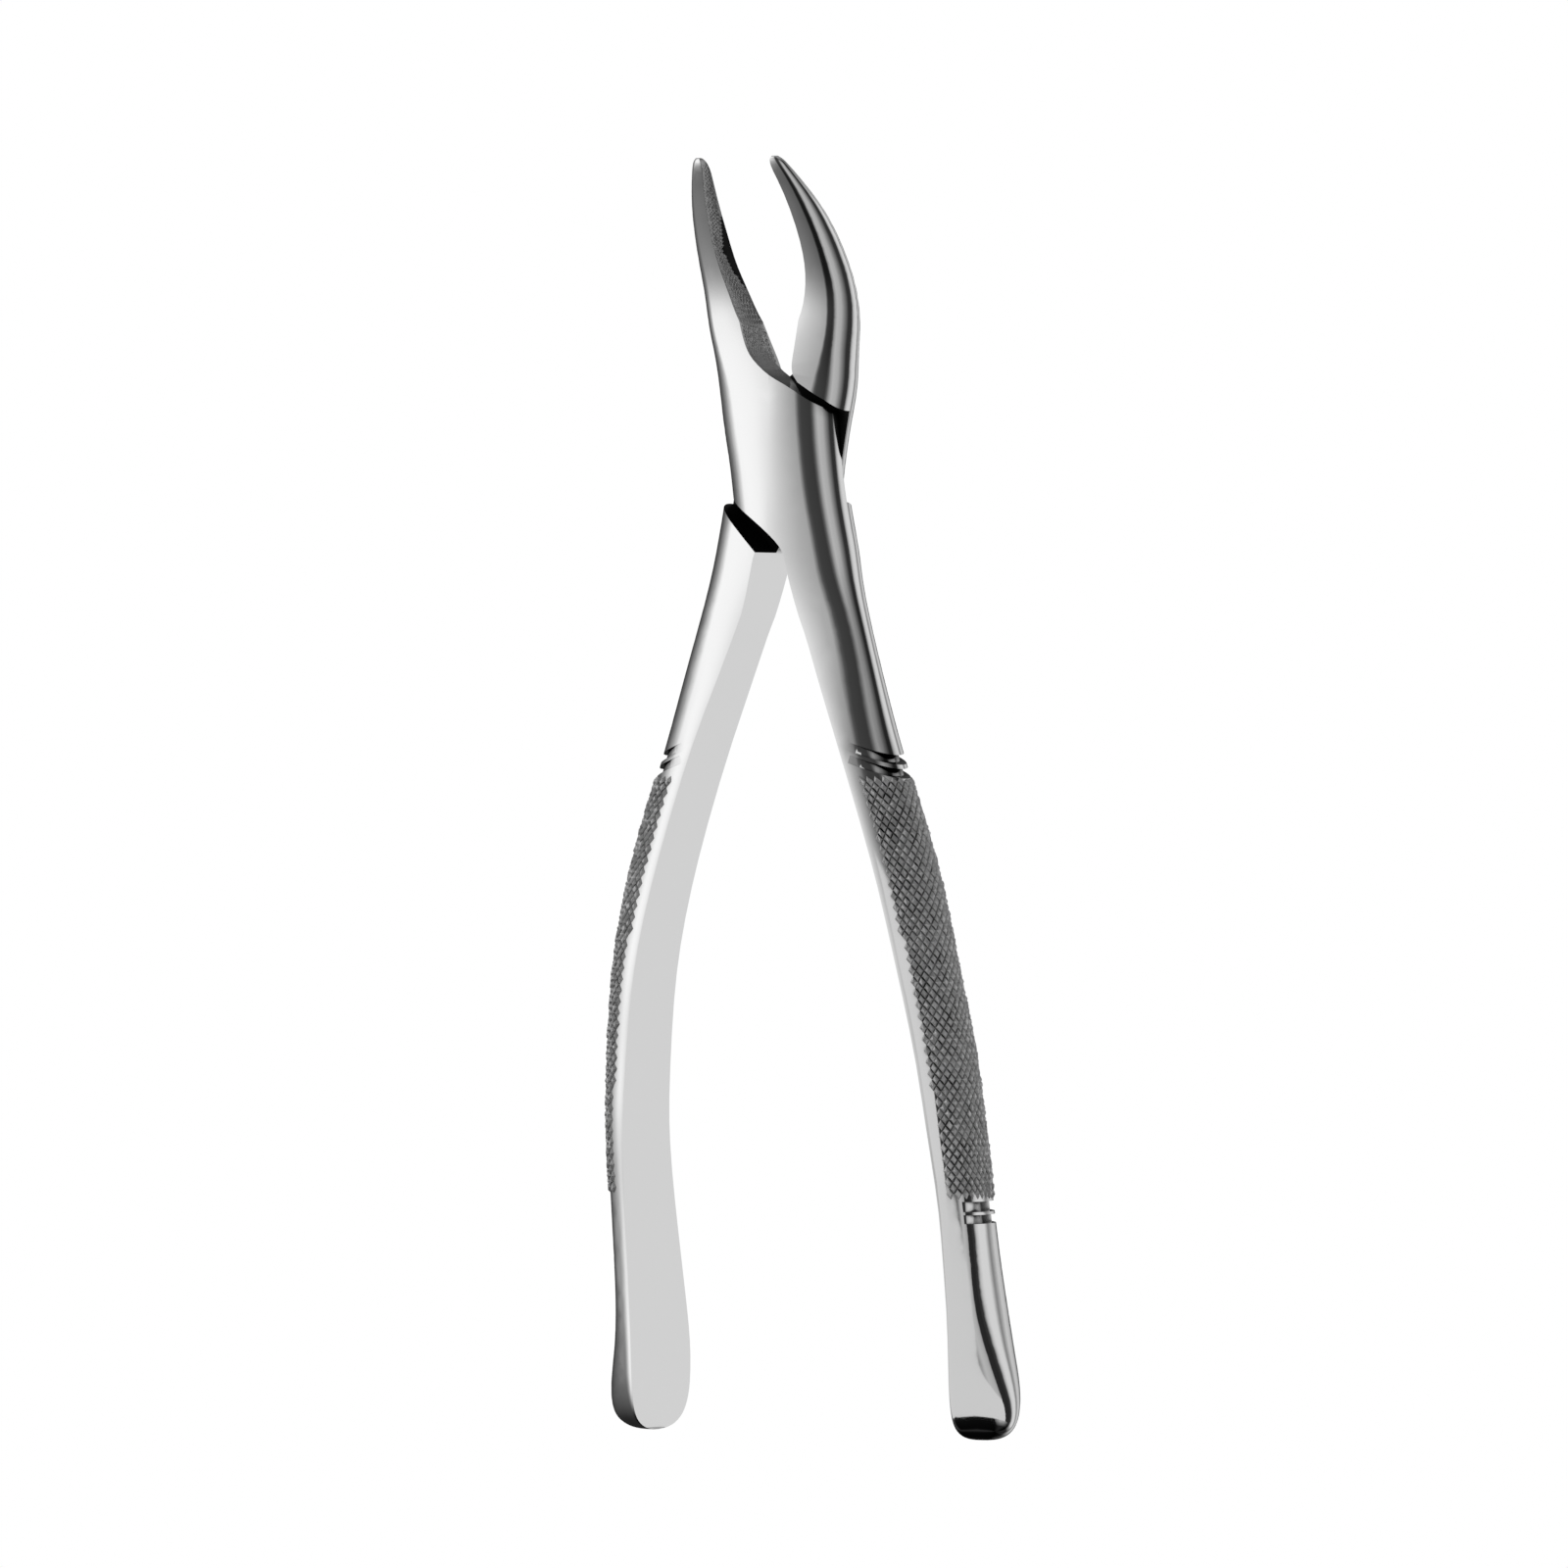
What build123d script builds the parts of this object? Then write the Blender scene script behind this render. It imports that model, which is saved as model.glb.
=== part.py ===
# Tooth extraction forceps of the American pattern: two forged steel halves that cross in a
# lap joint and turn on one shoulder screw. Sizes are in millimetres.
# The beaks point up (+Z), the handles spread along X, the front of the joint faces -Y and
# the origin is the centre of the pivot. The halves are drawn standing open.
import os

from build123d import *

# joint
JOINT_DEPTH = 8.8  # front face to back face of the closed lap
LAP_Y = 0.5  # plane where the two plates slide on each other
LAP_GAP = 0.04  # clearance between each plate and that plane

# pivot screw: a shouldered screw put in from the back, its thread end blind in the front half
SHANK_R = 2.5
SHANK_CLEARANCE = 0.03
THREAD_R = 2.0
THREAD_CLEARANCE = 0.01
THREAD_LENGTH = 3.4
HEAD_R = 3.9
HEAD_THICKNESS = 1.4
HEAD_SUNK = 0.15
HEAD_CLEARANCE = 0.1
HEAD_PLAY = 0.03  # end play of the back half under the head
SLOT_WIDTH = 0.8
SLOT_DEPTH = 0.7

# grip grooves, two at each end of the knurled stretch of a handle
GROOVE_RUN_OUT = 0.04  # how far the front of a handle stands clear of them
GROOVES = (  # height, tilt, depth, depth at the back, width
    (-39.0, 18.0, 1.0, 0.3, 1.1),
    (-40.9, 18.0, 1.0, 0.3, 1.1),
    (-100.0, 3.0, 0.45, 2.9, 1.4),
    (-101.7, 3.0, 0.45, 2.9, 1.2),
)

# Slices of the handle limb, from the handle end up through the joint:
# height, inner face, outermost point, middle depth of the inner face, width, side strip,
# shift of the outside towards the back
HANDLE = (
    (-131.6, 27.6, 29.2, 6.5, 1.2, 0.3, -0.1),
    (-131.45, 27.35, 30.6, 6.5, 3.6, 0.4, -0.2),
    (-131.0, 27.2, 32.0, 6.5, 6.7, 0.5, -0.3),
    (-129.9, 27.1, 33.3, 6.6, 9.9, 0.7, -0.6),
    (-127.8, 27.05, 33.9, 6.8, 12.2, 0.9, -0.9),
    (-124.6, 27.0, 33.5, 6.9, 13.2, 1.2, -1.1),
    (-120.3, 27.0, 32.4, 6.8, 13.4, 1.3, -1.4),
    (-114.3, 27.0, 31.2, 6.2, 12.9, 1.4, -1.8),
    (-108.3, 26.9, 30.8, 5.3, 12.2, 1.4, -1.9),
    (-100.3, 26.7, 30.6, 4.0, 11.4, 1.5, -1.6),
    (-90.0, 25.9, 30.4, 2.1, 10.6, 1.8, -0.6),
    (-80.0, 24.6, 29.75, 0.95, 10.1, 2.0, -0.3),
    (-68.0, 22.3, 28.0, -0.35, 9.7, 2.1, -0.2),
    (-56.0, 19.0, 25.5, -0.8, 9.2, 2.2, -0.1),
    (-44.0, 14.8, 21.4, -0.9, 8.9, 2.3, -0.1),
    (-36.3, 11.8, 18.6, -0.8, 8.7, 2.8, -0.2),
    (-28.0, 8.3, 16.0, -0.5, 8.1, 3.7, -0.4),
    (-20.0, 4.9, 13.5, -0.2, 7.8, 4.8, -0.4),
    (-15.3, 2.2, 12.1, -0.1, 8.4, 5.9, -0.2),
    (-11.0, -1.0, 11.1, 0.0, 8.8, 8.1, 0.0),
    (-6.0, -1.5, 10.0, 0.0, 8.8, 7.5, 0.0),
    (0.0, -1.5, 9.0, 0.0, 8.8, 6.5, 0.0),
    (6.0, -1.5, 8.4, 0.0, 8.8, 5.9, 0.0),
    (11.0, -1.5, 8.0, 0.0, 8.4, 5.5, 0.0),
    (15.5, -1.5, 7.7, -0.7, 6.9, 5.2, 0.0),
    (19.7, -1.5, 7.5, -1.5, 5.5, 5.0, 0.0),
)

# Slices of the beak limb, from below the joint up to the tip, in the same terms and with
# the depth of the hollow in the inner face as the last value
BEAK = (
    (-20.0, -1.5, 5.5, -0.2, 7.8, 3.0, 0.0, 0.0),
    (-15.3, -1.5, 6.5, -0.1, 8.4, 4.0, 0.0, 0.0),
    (-11.0, -1.5, 7.2, 0.0, 8.8, 4.7, 0.0, 0.0),
    (-6.0, -1.5, 7.9, 0.0, 8.8, 5.4, 0.0, 0.0),
    (0.0, -1.5, 8.7, 0.0, 8.8, 6.2, 0.0, 0.0),
    (6.0, -1.3, 9.8, 0.0, 8.8, 7.1, 0.0, 0.0),
    (11.0, -0.8, 10.7, 0.0, 8.4, 7.7, 0.2, 0.0),
    (15.5, 1.4, 11.3, -0.7, 6.9, 7.0, 0.6, 0.15),
    (19.7, 4.8, 12.0, -1.5, 5.5, 4.7, 0.9, 0.35),
    (23.7, 6.45, 12.2, -2.3, 4.8, 3.4, 0.9, 0.6),
    (27.7, 7.3, 12.0, -3.8, 4.3, 2.6, 0.9, 1.0),
    (31.7, 7.4, 11.4, -5.6, 3.9, 2.2, 0.8, 1.05),
    (35.7, 7.0, 10.35, -7.7, 3.2, 1.8, 0.6, 0.75),
    (39.0, 6.3, 8.9, -9.6, 2.4, 1.5, 0.3, 0.4),
    (40.9, 5.9, 7.9, -10.8, 1.8, 1.1, 0.2, 0.2),
    (41.75, 6.0, 7.3, -11.3, 1.2, 0.6, 0.1, 0.0),
    (42.05, 6.2, 6.9, -11.45, 0.6, 0.3, 0.0, 0.0),
)

# Outlines in the X, Z plane of a half whose beak is on the left and handle on the right.
# Beak and handle run into their plate along the crotch and the heel. In the other layer
# they end in a shoulder, and the plate of the other half turns between the two.
CROTCH = (
    (-5.55, 22.5), (-4.95, 19.7), (-4.25, 17.2), (-3.3, 15.4), (-1.9, 14.0),
    (0.2, 12.5), (2.4, 11.4), (4.5, 10.2), (7.5, 8.3), (13.0, 4.8),
)
HEEL = (
    (-13.0, -0.2), (-9.5, -2.5), (-5.8, -4.95), (-1.65, -7.7), (0.8, -9.6), (2.1, -11.0),
    (2.65, -12.2),
)
HANDLE_INSIDE = ((2.65, -12.2), (3.25, -14.6), (3.98, -17.2), (4.98, -20.2), (6.2, -23.2))
BEAK_INSIDE = (
    (-5.55, 22.5), (-4.95, 19.7), (-4.4, 17.2), (-4.0, 15.4), (-3.75, 13.7), (-3.95, 12.6),
)
BEAK_SHOULDER = ((-4.7, 11.6), (-8.6, 9.2), (-10.0, 7.9), (-13.0, 4.2))
HANDLE_SHOULDER = ((2.65, -12.2), (2.3, -11.4), (8.1, -5.8), (9.6, -4.7), (13.0, -2.4))


def limb_slice(z, inner, outer, middle, width, strip, shift, hollow=0.0):
    """Closed outline of a limb at one height: inner face, two side strips, round outside.
    The strips are shallow parabolas, fullest at the inner face or, in the joint, at X = 0,
    so that the faces of a beak and a handle run into each other there."""
    half = width / 2
    edge = inner + strip
    bulge = outer - edge
    crest = max(inner, 0.0)
    fall = 0.02 * width / (edge - crest) ** 2 + 0.004
    rise = fall * (inner - crest) * (edge - crest)
    start = half - fall * (inner - crest) ** 2
    shoulder = half - fall * (edge - crest) ** 2
    lean = 2 * fall * (edge - crest)
    near, far = edge + 0.8 * bulge, edge + 1.2 * bulge
    drift = shift * strip / (outer - inner)
    dip = inner + 4 / 3 * hollow

    def at(x, y):
        return (x, middle + y, z)

    inside = Bezier(at(inner, start), at(dip, 0.4 * half), at(dip, -0.4 * half), at(inner, -start))
    front = Bezier(at(inner, -start), at(inner + strip / 2, rise - half), at(edge, -shoulder))
    outside = Bezier(
        at(edge, -shoulder),
        at(near, -shoulder + 0.8 * bulge * lean),
        at(far, 1.6 * shift - 0.4 * half),
        at(far, 1.6 * shift + 0.4 * half),
        at(near, drift + shoulder - 0.8 * bulge * (lean - shift / (outer - inner))),
        at(edge, drift + shoulder),
    )
    back = Bezier(
        at(edge, drift + shoulder),
        at(inner + strip / 2, drift / 2 + half - rise),
        at(inner, start),
    )
    return Wire([inside, front, outside, back])


def limb(rows):
    return Solid.make_loft([limb_slice(*row) for row in rows])


def row_at(rows, z):
    """The slice values at any height, in proportion between the two rows around it."""
    for lower, upper in zip(rows, rows[1:]):
        if lower[0] <= z <= upper[0]:
            share = (z - lower[0]) / (upper[0] - lower[0])
            return tuple(a + share * (b - a) for a, b in zip(lower, upper))
    raise ValueError(z)


def groove_cutter(z, tilt, depth, back, width):
    """Slab across the outside of a handle, without the core that the groove leaves."""
    core = []
    for level in (z - 2.5, z + 2.5):
        _, inner, outer, middle, deep, strip, shift = row_at(HANDLE, level)
        deep, middle = deep - back + GROOVE_RUN_OUT, middle - (back + GROOVE_RUN_OUT) / 2
        core.append((level, inner, outer - depth, middle, deep, strip - 0.3 * depth, shift))
    here = row_at(HANDLE, z)
    slab = Pos(here[1] + 5, here[3], z) * Rot(0, tilt, 0) * Box(9, 30, width)
    return slab - limb(core)


def half_envelope():
    """Beak on the left and handle on the right, both at full depth through the joint."""
    left_side = Pos(-50, 0, 0) * Box(100, 100, 400)
    handle = limb(HANDLE) - left_side
    beak = mirror(limb(BEAK) - left_side, Plane.YZ)
    return handle.fuse(beak, tol=0.005)


def bounded(curves, corners, y_from, y_to):
    """Solid whose outline in X, Z follows smooth curves and then straight lines back."""
    sides = [Spline(*[(x, y_from, z) for x, z in curve]) for curve in curves]
    ends = (curves[-1][-1],) + corners + (curves[0][0],)
    sides.append(Polyline(*[(x, y_from, z) for x, z in ends]))
    return extrude(make_face(sides), amount=y_to - y_from, dir=(0, 1, 0))


def lapped(envelope, front):
    """A half of the forceps: its envelope without the room that the other half turns in."""
    layers = (-30, LAP_Y + LAP_GAP), (LAP_Y - LAP_GAP, 30)
    plate_layer, open_layer = layers if front else layers[::-1]
    over = bounded([CROTCH], ((13.0, 22.5),), *plate_layer)
    under = bounded([HEEL], ((-13.0, -12.2),), *plate_layer)
    inside = bounded([HANDLE_INSIDE], ((-13.0, -23.2), (-13.0, -12.2)), -30, 30)
    around = BEAK_SHOULDER + ((-13.0, -12.2),) + HANDLE_SHOULDER + ((13.0, 22.5),)
    channel = bounded([BEAK_INSIDE], around, *open_layer)
    pieces = (envelope - channel - over - under - inside).solids()
    return pieces.sort_by(SortBy.VOLUME)[-1]  # the smaller pieces are the waste of the channel


def rod(radius, y_from, y_to):
    """Round bar on the pivot axis."""
    return Pos(0, (y_from + y_to) / 2, 0) * Rot(90, 0, 0) * Cylinder(radius, abs(y_to - y_from))


BACK_FACE = JOINT_DEPTH / 2
POCKET_FLOOR = BACK_FACE - HEAD_SUNK - HEAD_THICKNESS - HEAD_PLAY
SEAT = LAP_Y - LAP_GAP


def grooved(half):
    for groove in GROOVES:
        half -= groove_cutter(*groove)
    return half


def front_half():
    hole = rod(THREAD_R + THREAD_CLEARANCE, SEAT + 1, SEAT - THREAD_LENGTH - 0.2)
    return grooved(lapped(half_envelope(), True) - hole)


def back_half():
    plate = lapped(half_envelope(), False)
    plate -= rod(SHANK_R + SHANK_CLEARANCE, -1, BACK_FACE + 1)
    plate -= rod(HEAD_R + HEAD_CLEARANCE, POCKET_FLOOR, BACK_FACE + 1)
    return mirror(grooved(plate), Plane.YZ)


def pivot_screw():
    head_top = BACK_FACE - HEAD_SUNK
    under_head = head_top - HEAD_THICKNESS
    screw = rod(HEAD_R, under_head, head_top)
    screw = chamfer(screw.edges().sort_by(Axis.Y)[-1], 0.25)
    screw += rod(SHANK_R, SEAT, under_head)
    screw += rod(THREAD_R, SEAT - THREAD_LENGTH, SEAT)
    slot = Pos(0, head_top, 0) * Box(2 * HEAD_R + 1, 2 * SLOT_DEPTH, SLOT_WIDTH)
    return screw - Rot(0, 25, 0) * slot


def main():
    os.makedirs("parts", exist_ok=True)
    export_step(front_half(), "parts/front_half.step")
    export_step(back_half(), "parts/back_half.step")
    export_step(pivot_screw(), "parts/pivot_screw.step")


if __name__ == "__main__":
    main()
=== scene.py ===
# Tooth extraction forceps: two mirror-polished halves on one pivot screw, upright with the
# beaks at the top. The imported CAD gives the halves and the screw; this script adds the knurled
# grips, the cross-cut in the beaks, the finishes with painted shade in gaps and recesses, the
# studio and the camera. Lengths are in metres.
import math
import random

import bmesh
import bpy
import numpy as np
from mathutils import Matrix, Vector
from mathutils.bvhtree import BVHTree


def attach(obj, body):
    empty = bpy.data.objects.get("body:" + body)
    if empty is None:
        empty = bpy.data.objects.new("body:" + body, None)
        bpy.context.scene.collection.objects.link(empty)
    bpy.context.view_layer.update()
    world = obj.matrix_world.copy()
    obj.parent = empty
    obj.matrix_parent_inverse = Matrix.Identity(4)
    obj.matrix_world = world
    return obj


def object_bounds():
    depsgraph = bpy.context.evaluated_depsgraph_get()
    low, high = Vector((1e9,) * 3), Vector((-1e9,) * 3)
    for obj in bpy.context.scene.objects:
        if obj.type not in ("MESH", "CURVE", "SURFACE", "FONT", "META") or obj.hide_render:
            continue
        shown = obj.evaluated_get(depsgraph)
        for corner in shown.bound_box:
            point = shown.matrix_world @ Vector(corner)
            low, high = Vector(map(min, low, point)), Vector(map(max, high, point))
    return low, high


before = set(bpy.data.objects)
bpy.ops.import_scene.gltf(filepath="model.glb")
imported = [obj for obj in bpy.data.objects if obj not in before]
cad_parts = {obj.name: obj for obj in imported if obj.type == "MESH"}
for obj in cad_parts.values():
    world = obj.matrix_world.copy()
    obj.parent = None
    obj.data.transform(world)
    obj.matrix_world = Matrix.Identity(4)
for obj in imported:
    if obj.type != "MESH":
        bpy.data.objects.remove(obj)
cad_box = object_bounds()

MM = 0.001
LAP_Y = 0.5 * MM  # plane where the two halves slide on each other
JOINT_LOW, JOINT_HIGH = -14 * MM, 12.3 * MM  # heights between which they cross
BEAK_FROM = 12.9 * MM  # height where the inside of the beaks starts

# camera: a long lens, level, to the right of the front of the joint
CAMERA_AZIMUTH = math.radians(37)
CAMERA_DISTANCE = 2.0
FRAME_SPAN = 213.33 * MM  # what the square frame shows at the pivot
AIM_ACROSS = -0.49 * MM
AIM_UP = 1.9 * MM  # above the middle of the object

# knurled grip
KNURL_FROM, KNURL_TO = -41.8 * MM, -98.9 * MM
KNURL_EDGE = 1.45 * MM  # flat side strip that is left plain
KNURL_LENGTH = 1.6 * MM  # of one diamond along the handle
KNURL_ACROSS = 1.1 * MM  # of one diamond round the handle
KNURL_HEIGHT = 0.42 * MM
KNURL_FLAT = 0.4  # share of a diamond that is its flat top
KNURL_ROOT = 0.15 * MM  # how far the piece reaches into the handle
KNURL_SLOPE = 1.03  # length along the sloping handle for each unit of height
VALLEY = 0.02 * MM  # how far the grooves between diamonds stand clear of the surface

# cross-cut in the hollow of the beaks, from the crotch to the tip
TEETH_FROM, TEETH_TO = 13.3 * MM, 41.2 * MM
TEETH_PITCH = 0.5 * MM
TEETH_HEIGHT = 0.08 * MM
TEETH_FLAT = 0.25
TEETH_ROOT = 0.05 * MM
HOLLOW_SHARE = 0.93  # of the width of the beak
BARE_AT, BARE_SPAN = 29.5 * MM, 3.6 * MM  # where the back wall of the hollow stays smooth
BARE_SHARE = 0.42  # of half the width

# cards beside the end of the right handle
HANDLE_END = -120 * MM  # the end of the handle lies below this
CARD_FOOT = -200 * MM
CARD_STEPS = 20


# ---------------------------------------------------------------- node helpers

def link(tree, source, target):
    tree.links.new(source, target)


def new_node(tree, kind, **values):
    made = tree.nodes.new(kind)
    for key, value in values.items():
        if key in made.inputs:
            made.inputs[key].default_value = value
        else:
            setattr(made, key, value)
    return made


def maths(tree, operation, a, b=None):
    made = tree.nodes.new("ShaderNodeMath")
    made.operation = operation
    for index, value in enumerate((a, b)):
        if value is None:
            continue
        if isinstance(value, (int, float)):
            made.inputs[index].default_value = value
        else:
            link(tree, value, made.inputs[index])
    return made.outputs[0]


def ramp(tree, factor, stops):
    """Grey ramp through (place, brightness) stops."""
    made = tree.nodes.new("ShaderNodeValToRGB")
    elements = made.color_ramp.elements
    for place, value in stops[1:-1]:
        elements.new(place).color = (value, value, value, 1)
    for element, (place, value) in ((elements[0], stops[0]), (elements[-1], stops[-1])):
        element.position = place
        element.color = (value, value, value, 1)
    link(tree, factor, made.inputs[0])
    return made.outputs[0]


# ---------------------------------------------------------------- shading normals

def corner_normals(points, triangles):
    """Angle-weighted normals of the vertices of each CAD face."""
    normals = np.zeros_like(points)
    corners = points[triangles]
    across = np.cross(corners[:, 1] - corners[:, 0], corners[:, 2] - corners[:, 0])
    across /= np.maximum(np.linalg.norm(across, axis=1), 1e-15)[:, None]
    for k in range(3):
        a = corners[:, (k + 1) % 3] - corners[:, k]
        b = corners[:, (k + 2) % 3] - corners[:, k]
        cosine = (a * b).sum(1) / np.maximum(
            np.linalg.norm(a, axis=1) * np.linalg.norm(b, axis=1), 1e-15)
        np.add.at(normals, triangles[:, k], across * np.arccos(np.clip(cosine, -1, 1))[:, None])
    return normals / np.maximum(np.linalg.norm(normals, axis=1), 1e-12)[:, None]


def patch_normal(offsets, normal):
    """Normal at the origin of a quadratic patch fitted to nearby points of a smooth face."""
    side = np.cross(normal, (0, 0, 1) if abs(normal[2]) < 0.9 else (1, 0, 0))
    side /= np.linalg.norm(side)
    other = np.cross(normal, side)
    reach = np.linalg.norm(offsets, axis=1)
    scale = reach.mean()
    u, v, h = (offsets @ axis / scale for axis in (side, other, normal))
    weight = 1 / (reach / scale + 0.1) ** 1.5
    terms = np.stack((u, v, u * u, u * v, v * v), axis=1) * weight[:, None]
    slopes = np.linalg.lstsq(terms, h * weight, rcond=1e-5)[0][:2]
    steep = np.linalg.norm(slopes)
    if steep > 0.5:
        return normal
    fitted = normal - slopes[0] * side - slopes[1] * other
    return fitted / np.linalg.norm(fitted)


def fit_normals(obj, join=math.radians(14)):
    """Gives a CAD node the shading of its true curved surfaces. Vertices stay where they are."""
    mesh = obj.data
    points = np.empty(len(mesh.vertices) * 3)
    mesh.vertices.foreach_get("co", points)
    points = points.reshape(-1, 3)
    triangles = np.empty(len(mesh.loops), int)
    mesh.loops.foreach_get("vertex_index", triangles)
    triangles = triangles.reshape(-1, 3)
    normals = corner_normals(points, triangles)
    near = [set() for _ in points]
    for a, b, c in triangles:
        near[a].update((b, c))
        near[b].update((a, c))
        near[c].update((a, b))
    fitted = normals.copy()
    for index, ring in enumerate(near):
        around = set(ring)
        for other in ring:
            around |= near[other]
        around.discard(index)
        if len(around) > 6:
            offsets = points[list(around)] - points[index]
            fitted[index] = patch_normal(offsets, normals[index])
    places = {}
    for index, key in enumerate(map(tuple, np.round(points * 1e6).astype(int))):
        places.setdefault(key, []).append(index)
    merged = fitted.copy()
    for group in places.values():
        for index in group:
            alike = [k for k in group if fitted[k] @ fitted[index] > math.cos(join)]
            total = fitted[alike].sum(0)
            merged[index] = total / np.linalg.norm(total)
    mesh.shade_smooth()
    mesh.normals_split_custom_set_from_vertices([tuple(n) for n in merged])


# ---------------------------------------------------------------- materials

def mix_colours(tree, kind, amount, first, second):
    made = tree.nodes.new("ShaderNodeMix")
    made.data_type = "RGBA"
    made.blend_type = kind
    for socket, value in ((0, amount), (6, first), (7, second)):
        if isinstance(value, (int, float, tuple)):
            made.inputs[socket].default_value = value
        else:
            link(tree, value, made.inputs[socket])
    return made.outputs[2]


def steel(name, colour, roughness, shade=0.0, metallic=1.0, scratches=0.02):
    """Polished steel: fine rubbing marks along the object and slight changes of gloss.
    Ambient occlusion darkens the base colour as painted shade in narrow gaps within the shade
    distance. A less metallic value gives the dull look of a surface cut up too finely to mirror
    anything."""
    material = bpy.data.materials.new(name)
    material.use_nodes = True
    tree = material.node_tree
    surface = tree.nodes["Principled BSDF"]
    surface.inputs["Metallic"].default_value = metallic
    surface.inputs["Base Color"].default_value = (*colour, 1)
    place = new_node(tree, "ShaderNodeTexCoord")
    stretch = new_node(tree, "ShaderNodeMapping")
    stretch.inputs["Scale"].default_value = (1, 1, 0.06)
    link(tree, place.outputs["Object"], stretch.inputs["Vector"])
    marks = new_node(tree, "ShaderNodeTexNoise", Scale=4000.0, Detail=2.0)
    link(tree, stretch.outputs[0], marks.inputs["Vector"])
    patches = new_node(tree, "ShaderNodeTexNoise", Scale=140.0, Detail=3.0)
    link(tree, place.outputs["Object"], patches.inputs["Vector"])
    gloss = new_node(tree, "ShaderNodeMapRange")
    gloss.inputs["From Min"].default_value = 0.3
    gloss.inputs["From Max"].default_value = 0.7
    gloss.inputs["To Min"].default_value = roughness * 0.85
    gloss.inputs["To Max"].default_value = roughness * 1.15
    link(tree, patches.outputs[0], gloss.inputs["Value"])
    link(tree, gloss.outputs[0], surface.inputs["Roughness"])
    bump = new_node(tree, "ShaderNodeBump", Strength=scratches, Distance=0.00002)
    link(tree, marks.outputs[0], bump.inputs["Height"])
    link(tree, bump.outputs[0], surface.inputs["Normal"])
    if shade:
        # Painted shade: ambient occlusion darkens the base colour in narrow gaps and grooves.
        gaps = new_node(tree, "ShaderNodeAmbientOcclusion", Distance=shade)
        gaps.samples = 12
        stops = ((0.3, 0.0), (0.55, 0.12), (0.8, 0.75), (0.95, 1.0))
        occlusion_shade = ramp(tree, gaps.outputs["AO"], stops)
        colour = mix_colours(tree, "MULTIPLY", 1.0, (*colour, 1), occlusion_shade)
        link(tree, colour, surface.inputs["Base Color"])
    return material


def finish_and_shade_half(obj, side, polished, dark_painted_shade, hatch):
    """Polished all over, but near-black steel as painted shade where the other half turns
    against it, near-black steel as a painted dark reflection on the back wall of the hollow in
    the beak, and matt on the rest of the inside of the beak."""
    paint(obj, polished, dark_painted_shade, hatch)
    for face in obj.data.polygons:
        x, y, z = face.center
        across, deep, rise = face.normal
        open_layer = (y - LAP_Y) * side > -0.1 * MM
        inwards = across * x + rise * z < -0.5 * math.hypot(x, z)
        sliding = abs(y - LAP_Y) < 0.1 * MM and abs(deep) > 0.9
        # Painted shade: faces that the other half turns against get the near-black steel.
        if JOINT_LOW < z < JOINT_HIGH and open_layer and (inwards or sliding):
            face.material_index = 1
        elif z > BEAK_FROM and across * side > 0.4 and x * side < 0:
            # Painted dark reflection: the back wall of the hollow gets the near-black steel.
            back_wall = deep < -0.25 and abs(z - BARE_AT) < 1.3 * BARE_SPAN
            face.material_index = 1 if back_wall else 2


def paint(obj, *materials):
    obj.data.materials.clear()
    for material in materials:
        obj.data.materials.append(material)


# ---------------------------------------------------------------- knurled grips

def relief(name, place, rows, columns, height, flat, root, seed):
    """Closed sheet of raised diamonds. place(row, column, height) gives a point, and
    columns(row) how many half diamonds fit on each side of the middle of a row."""
    dice = random.Random(seed)
    mesh = bmesh.new()
    tops, roots, flats = {}, {}, []

    def corner(row, column):
        if (row, column) not in tops:
            tops[row, column] = mesh.verts.new(place(row, column, VALLEY))
            roots[tops[row, column]] = mesh.verts.new(place(row, column, -root))
        return tops[row, column]

    for row in range(1, rows):
        for column in range(-columns(row) + 1, columns(row)):
            if (row + column) % 2 == 0:
                continue
            ring = [
                corner(row - 1, column), corner(row, column + 1),
                corner(row + 1, column), corner(row, column - 1),
            ]
            top = height * dice.uniform(0.7, 1.0)
            wide = flat * dice.uniform(0.5, 1.5)
            lid, under = [], []
            for dr, dc in ((-wide, 0), (0, wide), (wide, 0), (0, -wide)):
                level = top * dice.uniform(0.65, 1.1)
                lid.append(mesh.verts.new(place(row + dr, column + dc, level)))
                under.append(mesh.verts.new(place(row + dr, column + dc, -root)))
            for k in range(4):
                n = (k + 1) % 4
                mesh.faces.new((ring[k], ring[n], lid[n], lid[k]))
                mesh.faces.new((roots[ring[n]], roots[ring[k]], under[k], under[n]))
            flats.append(mesh.faces.new(lid))
            mesh.faces.new(under[::-1])
    for face in flats:
        face.material_index = 1
    for edge in [e for e in mesh.edges if len(e.link_faces) == 1]:
        a, b = edge.verts
        if a in roots and b in roots:
            mesh.faces.new((a, b, roots[b], roots[a]))
    bmesh.ops.recalc_face_normals(mesh, faces=mesh.faces)
    data = bpy.data.meshes.new(name)
    mesh.to_mesh(data)
    mesh.free()
    obj = bpy.data.objects.new(name, data)
    bpy.context.scene.collection.objects.link(obj)
    return obj


def sweep(points):
    """Distances along a line of (point, normal) pairs."""
    lengths = [0.0]
    for (a, _), (b, _) in zip(points, points[1:]):
        lengths.append(lengths[-1] + (b - a).length)
    return lengths


def along(points, lengths, distance):
    """Point and normal at a distance along the line."""
    distance = min(max(distance, 0.0), lengths[-1])
    index = next(i for i in range(len(lengths) - 1) if distance <= lengths[i + 1] + 1e-12)
    share = (distance - lengths[index]) / (lengths[index + 1] - lengths[index])
    (a, na), (b, nb) = points[index], points[index + 1]
    return a.lerp(b, share), na.lerp(nb, share).normalized()


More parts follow.
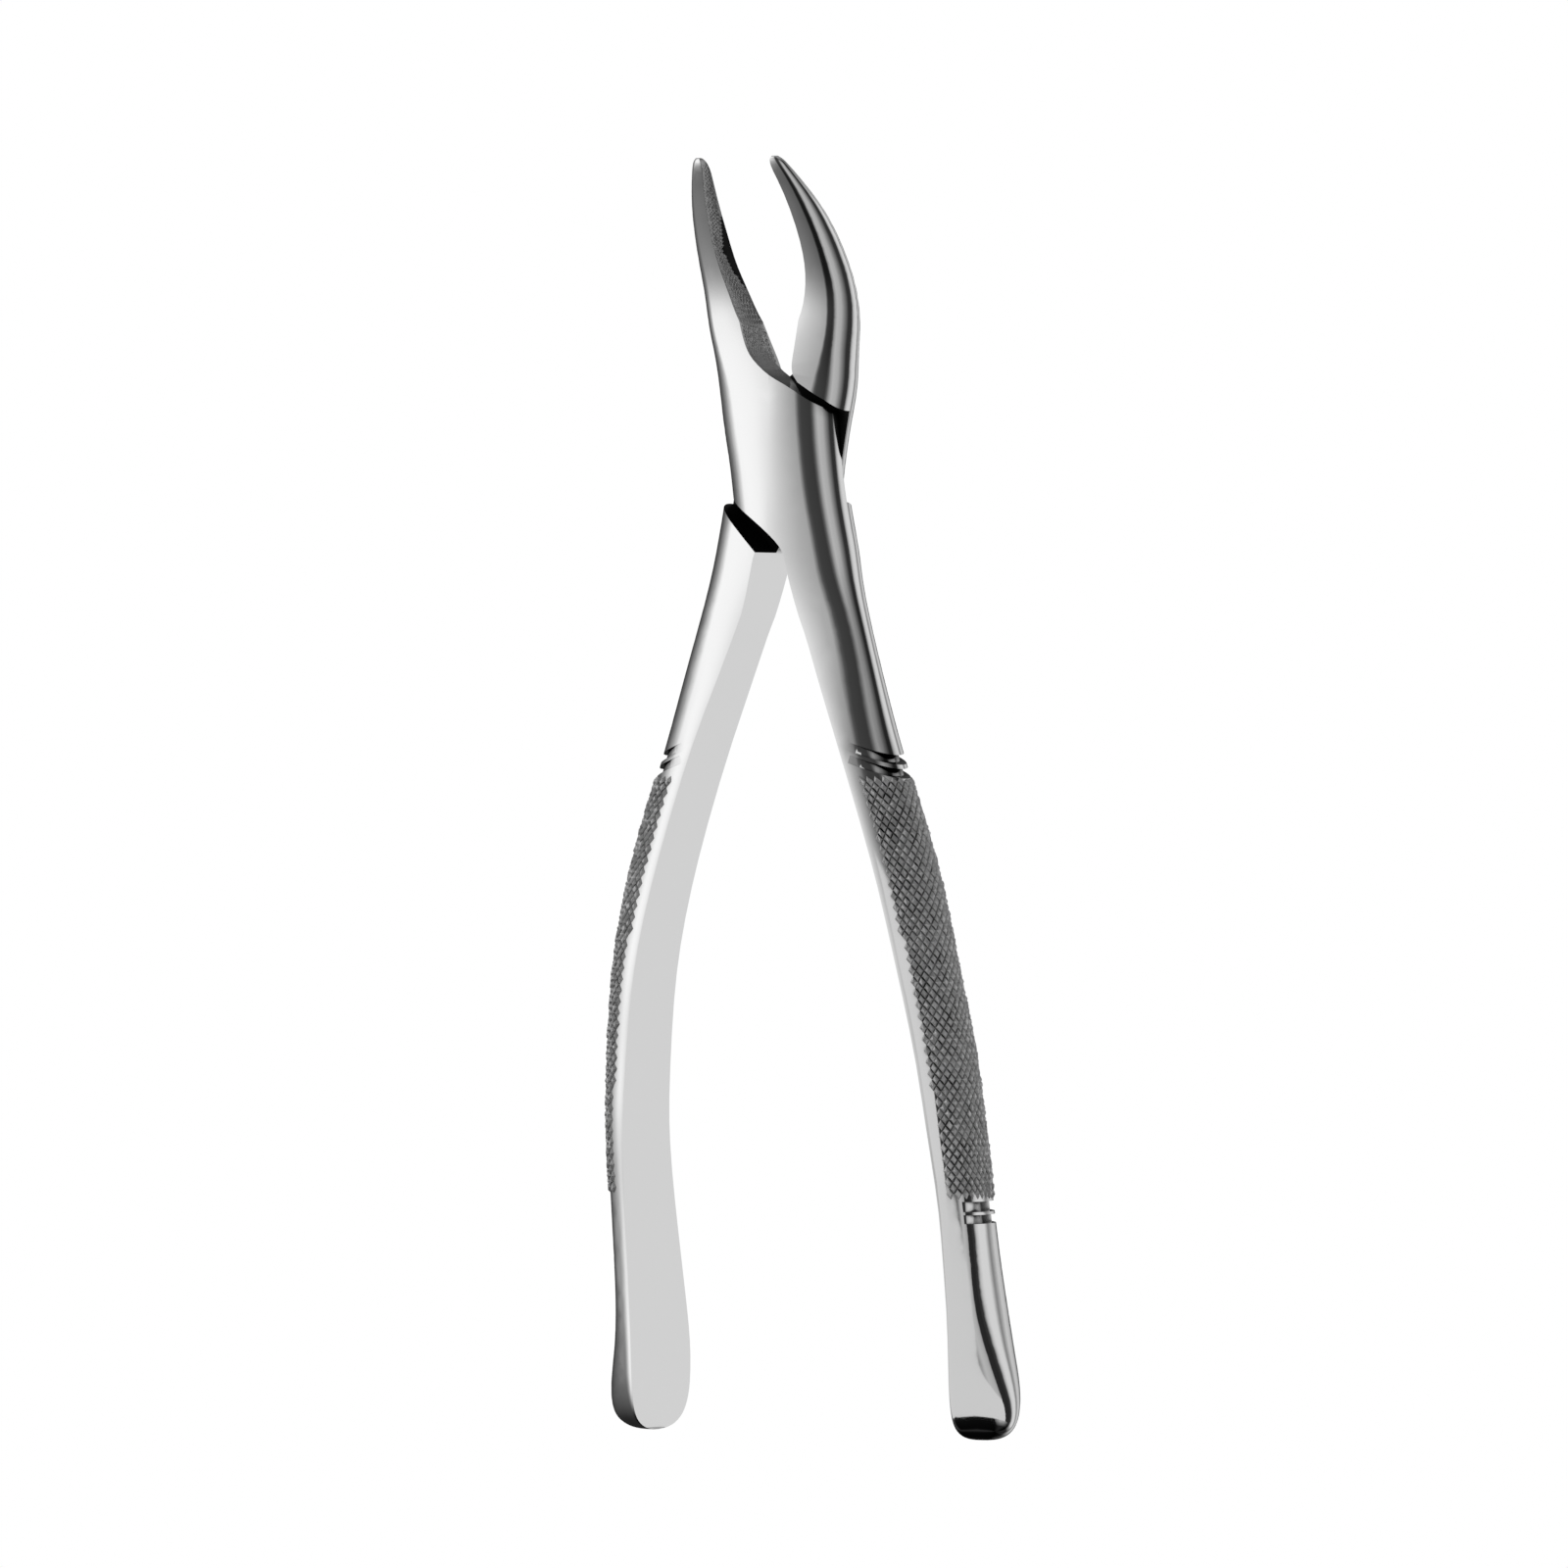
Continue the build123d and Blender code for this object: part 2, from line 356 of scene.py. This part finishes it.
def lattice(arcs, across):
    """place() for relief() on a surface given as one arc of points for each row."""
    lines = [(points, sweep(points)) for points in arcs]

    def place(row, column, height):
        low = min(max(math.floor(row), 0), len(lines) - 2)
        ends = []
        for points, lengths in lines[low:low + 2]:
            middle = lengths[-1] / 2
            ends.append(along(points, lengths, middle + column * across / 2))
        (a, na), (b, nb) = ends
        share = row - low
        return a.lerp(b, share) + na.lerp(nb, share).normalized() * height

    def columns(row):
        narrow = min(lines[r][1][-1] for r in (row - 1, row, min(row + 1, len(lines) - 1)))
        return math.floor(narrow / across + 1e-6)

    return place, columns


def handle_arc(tree, side, z, rays=61):
    """Points and normals round the outside of a handle at one height, front to back."""
    far = 80 * MM
    outer = tree.ray_cast(Vector((side * far, 0, z)), Vector((-side, 0, 0)))[0]
    inner = tree.ray_cast(Vector((0, outer.y, z)), Vector((side, 0, 0)))[0]
    start = inner.x + side * KNURL_EDGE
    front = tree.ray_cast(Vector((start, -far, z)), Vector((0, 1, 0)))[0]
    back = tree.ray_cast(Vector((start, far, z)), Vector((0, -1, 0)))[0]
    centre = (front + back) / 2
    points = []
    for step in range(rays):
        angle = math.radians(-90 + 180 * step / (rays - 1))
        away = Vector((side * math.cos(angle), math.sin(angle), 0))
        place, normal, _, _ = tree.ray_cast(centre + away * far, -away)
        points.append((place, normal))
    return points


def hollow_arc(tree, side, z, rays=15):
    """Points and normals across the hollow inner face of a beak at one height, front to back."""
    def inward(y):
        return tree.ray_cast(Vector((0, y, z)), Vector((side, 0, 0)))[:2]

    depths = [0.1 * MM * step for step in range(-200, 60)]
    struck = [y for y in depths if inward(y)[0]]
    middle, half = (struck[0] + struck[-1]) / 2, (struck[-1] - struck[0]) / 2
    bare = BARE_SHARE * math.exp(-((z - BARE_AT) / BARE_SPAN) ** 2)
    first, last = middle - HOLLOW_SHARE * half, middle + (HOLLOW_SHARE - bare) * half
    return [inward(first + (last - first) * step / (rays - 1)) for step in range(rays)]


def tree_of(node):
    return BVHTree.FromObject(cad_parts[node], bpy.context.evaluated_depsgraph_get())


def grip(name, node, body, side, materials):
    """Knurling over the round outside of one handle."""
    tree = tree_of(node)
    rows = 2 * round((KNURL_FROM - KNURL_TO) * KNURL_SLOPE / KNURL_LENGTH)
    drop = (KNURL_TO - KNURL_FROM) / rows
    arcs = [handle_arc(tree, side, KNURL_FROM + row * drop) for row in range(rows + 1)]
    place, columns = lattice(arcs, KNURL_ACROSS)
    obj = relief(name, place, rows, columns, KNURL_HEIGHT, KNURL_FLAT, KNURL_ROOT, 7 + side)
    paint(obj, *materials)
    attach(obj, body)


def teeth(name, node, body, side, materials):
    """Fine cross-cut in the hollow of one beak, so that it holds a tooth."""
    tree = tree_of(node)
    rows = 2 * round((TEETH_TO - TEETH_FROM) / TEETH_PITCH)
    rise = (TEETH_TO - TEETH_FROM) / rows
    arcs = [hollow_arc(tree, side, TEETH_FROM + row * rise) for row in range(rows + 1)]
    place, columns = lattice(arcs, TEETH_PITCH)
    obj = relief(name, place, rows, columns, TEETH_HEIGHT, TEETH_FLAT, TEETH_ROOT, 3 + side)
    paint(obj, *materials)
    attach(obj, body)


# ---------------------------------------------------------------- studio

# Brightness that reflections see round the object, by the angle from the main camera's
# direction, in degrees that are positive to its right. The panels stay where they are for
# every camera. They were set so that the polished steel carries the light and dark
# bands of the real object in the main view.
WALLS = (
    (-180, 0.02), (-152, 0.06), (-128, 0.15), (-110, 0.33), (-98, 0.62), (-90, 0.9),
    (-85, 1.0), (-79, 0.95), (-74, 0.8), (-70, 0.62), (-64, 0.42), (-58, 0.26), (-50, 0.08),
    (-42, 0.05), (-10, 0.04), (-2, 0.1), (8, 0.32), (18, 0.48), (38, 0.42), (50, 0.24),
    (60, 0.12), (68, 0.03), (84, 0.03), (93, 0.5), (102, 0.68), (117, 0.68), (126, 0.2),
    (140, 0.6), (152, 0.5), (164, 0.12), (180, 0.03),
)
# What is left of that above and below the horizon, on the camera's left and right.
LEFT_FADE = (
    (-90, 0.02), (-46, 0.06), (-37, 0.12), (-32, 0.2), (-27, 0.33), (-18, 0.58), (-7, 0.95),
    (-3, 1.0), (35, 1.0), (55, 0.8), (90, 0.6),
)
RIGHT_FADE = (
    (-90, 0.02), (-60, 0.04), (-48, 0.4), (-36, 1.0), (22, 1.0), (34, 0.3), (55, 0.35),
    (90, 0.6),
)


def studio():
    """Plain white for the camera; reflections see light and dark panels all round."""
    world = bpy.data.worlds.new("studio")
    bpy.context.scene.world = world
    world.use_nodes = True
    tree = world.node_tree
    tree.nodes.clear()
    direction = new_node(tree, "ShaderNodeTexCoord").outputs["Generated"]

    def towards(vector):
        made = new_node(tree, "ShaderNodeVectorMath")
        made.operation = "DOT_PRODUCT"
        link(tree, direction, made.inputs[0])
        made.inputs[1].default_value = vector
        return made.outputs["Value"]

    right = towards((math.cos(CAMERA_AZIMUTH), math.sin(CAMERA_AZIMUTH), 0))
    near = towards((math.sin(CAMERA_AZIMUTH), -math.cos(CAMERA_AZIMUTH), 0))
    up = towards((0, 0, 1))
    angle = maths(tree, "ARCTAN2", right, near)
    turn = maths(tree, "ADD", maths(tree, "DIVIDE", angle, 2 * math.pi), 0.5)
    walls = ramp(tree, turn, [((a + 180) / 360, v) for a, v in WALLS])
    height = maths(tree, "ADD", maths(tree, "DIVIDE", maths(tree, "ARCSINE", up), math.pi), 0.5)
    left = ramp(tree, height, [((a + 90) / 180, v) for a, v in LEFT_FADE])
    other = ramp(tree, height, [((a + 90) / 180, v) for a, v in RIGHT_FADE])
    on_right = maths(tree, "GREATER_THAN", turn, 0.5)
    fade = mix_colours(tree, "MIX", on_right, left, other)
    ceiling = ramp(tree, height, ((0.0, 0.0), (0.72, 0.0), (0.85, 1.0)))
    around = mix_colours(tree, "MULTIPLY", 1.0, walls, fade)
    seen = mix_colours(tree, "MIX", ceiling, around, (0.3, 0.3, 0.3, 1))
    reflected = new_node(tree, "ShaderNodeBackground", Strength=1.0)
    link(tree, seen, reflected.inputs["Color"])
    white = new_node(tree, "ShaderNodeBackground", Strength=1.0)
    white.inputs["Color"].default_value = (1, 1, 1, 1)
    path = new_node(tree, "ShaderNodeLightPath")
    mix = new_node(tree, "ShaderNodeMixShader")
    link(tree, path.outputs["Is Camera Ray"], mix.inputs[0])
    link(tree, reflected.outputs[0], mix.inputs[1])
    link(tree, white.outputs[0], mix.inputs[2])
    out = new_node(tree, "ShaderNodeOutputWorld")
    link(tree, mix.outputs[0], out.inputs["Surface"])


def glowing(obj, brightness):
    """Studio surface, no part of the object. Only the camera sees the floor, and only
    reflections see the cards."""
    material = bpy.data.materials.new(obj.name + "_glow")
    material.use_nodes = True
    tree = material.node_tree
    tree.nodes.clear()
    glow = new_node(tree, "ShaderNodeEmission", Strength=brightness)
    out = new_node(tree, "ShaderNodeOutputMaterial")
    link(tree, glow.outputs[0], out.inputs["Surface"])
    paint(obj, material)
    obj.visible_diffuse = False
    obj.visible_shadow = False
    obj.visible_camera = obj.name == "floor"
    obj.visible_glossy = obj.name != "floor"


def low_card(name, first, last, top, brightness, reach=100 * MM):
    """Card curved round the front of the right handle's end, between two angles from the main
    camera's direction. It doesn't move with the camera."""
    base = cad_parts["front_half"]
    end = [base.matrix_world @ v.co for v in base.data.vertices if v.co.z < HANDLE_END]
    middle = sum(end, Vector()) / len(end)
    mesh = bmesh.new()
    pairs = []
    for step in range(CARD_STEPS + 1):
        turn = first + (last - first) * step / CARD_STEPS
        angle = CAMERA_AZIMUTH - math.pi / 2 + math.radians(turn)
        away = Vector((math.cos(angle), math.sin(angle), 0)) * reach
        x, y = middle.x + away.x, middle.y + away.y
        pairs.append([mesh.verts.new((x, y, z)) for z in (top, CARD_FOOT)])
    for (a, b), (c, d) in zip(pairs, pairs[1:]):
        mesh.faces.new((a, b, d, c))
    data = bpy.data.meshes.new(name)
    mesh.to_mesh(data)
    mesh.free()
    obj = bpy.data.objects.new(name, data)
    bpy.context.scene.collection.objects.link(obj)
    glowing(obj, brightness)


def lowest_swing():
    """Level that the handle ends stay above as they turn about the pivot, at the origin."""
    halves = (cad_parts[name].data for name in ("front_half", "back_half"))
    return -max(math.hypot(v.co.x, v.co.z) for half in halves for v in half.vertices)


def floor(level):
    """Plain white floor under the object; only the camera sees it."""
    bpy.ops.mesh.primitive_plane_add(size=30, location=(0, 0, level))
    obj = bpy.context.object
    obj.name = "floor"
    glowing(obj, 1.0)


def camera(low, high):
    data = bpy.data.cameras.new("camera")
    obj = bpy.data.objects.new("camera", data)
    bpy.context.scene.collection.objects.link(obj)
    right = Vector((math.cos(CAMERA_AZIMUTH), math.sin(CAMERA_AZIMUTH), 0))
    back = Vector((math.sin(CAMERA_AZIMUTH), -math.cos(CAMERA_AZIMUTH), 0))
    aim = right * AIM_ACROSS + Vector((0, 0, (low.z + high.z) / 2 + AIM_UP))
    obj.location = aim + back * CAMERA_DISTANCE
    obj.rotation_mode = "QUATERNION"
    obj.rotation_quaternion = (-back).to_track_quat("-Z", "Y")
    data.sensor_width = 36
    data.lens = data.sensor_width * CAMERA_DISTANCE / FRAME_SPAN
    data.clip_end = 100
    bpy.context.scene.camera = obj


# ---------------------------------------------------------------- scene

# Painted shade: ambient occlusion darkens the polished steel's colour in narrow gaps at the
# joint.
polished = steel("polished_steel", (0.93, 0.93, 0.93), 0.09, shade=2.5 * MM)
# Near-black steel: painted shade at the joint and painted dark reflection in the hollow.
dark_painted_shade = steel("shade_painted_steel", (0.03, 0.03, 0.03), 0.4)
# Painted shade: ambient occlusion darkens the knurl's colour in its grooves.
cut = steel("knurled_steel", (0.8, 0.8, 0.8), 0.45, shade=0.25 * MM, metallic=0.7)
crest = steel("knurl_crests", (0.97, 0.97, 0.97), 0.12, metallic=0.85)
hatch = steel("cross_cut_steel", (0.5, 0.5, 0.5), 0.35)
hatch_tops = steel("cross_cut_crests", (0.7, 0.7, 0.7), 0.25)
turned = steel("turned_steel", (0.75, 0.75, 0.76), 0.3)

for name in ("front_half", "back_half", "pivot_screw"):
    fit_normals(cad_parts[name])
finish_and_shade_half(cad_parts["front_half"], 1, polished, dark_painted_shade, hatch)
finish_and_shade_half(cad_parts["back_half"], -1, polished, dark_painted_shade, hatch)
paint(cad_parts["pivot_screw"], turned)
grip("front_grip", "front_half", "front_body", 1, (cut, crest))
grip("back_grip", "back_half", "back_body", -1, (cut, crest))
teeth("front_beak_teeth", "front_half", "front_body", -1, (hatch, hatch_tops))
teeth("back_beak_teeth", "back_half", "back_body", 1, (hatch, hatch_tops))

studio()
floor(lowest_swing())
low_card("pale_card", -64, 45, -122 * MM, 0.62)
low_card("dark_card", 45, 72, -72 * MM, 0.02)
low_card("side_card", -67, -45, -48 * MM, 0.65, reach=105 * MM)
camera(*cad_box)
bpy.context.scene.view_settings.view_transform = "Standard"
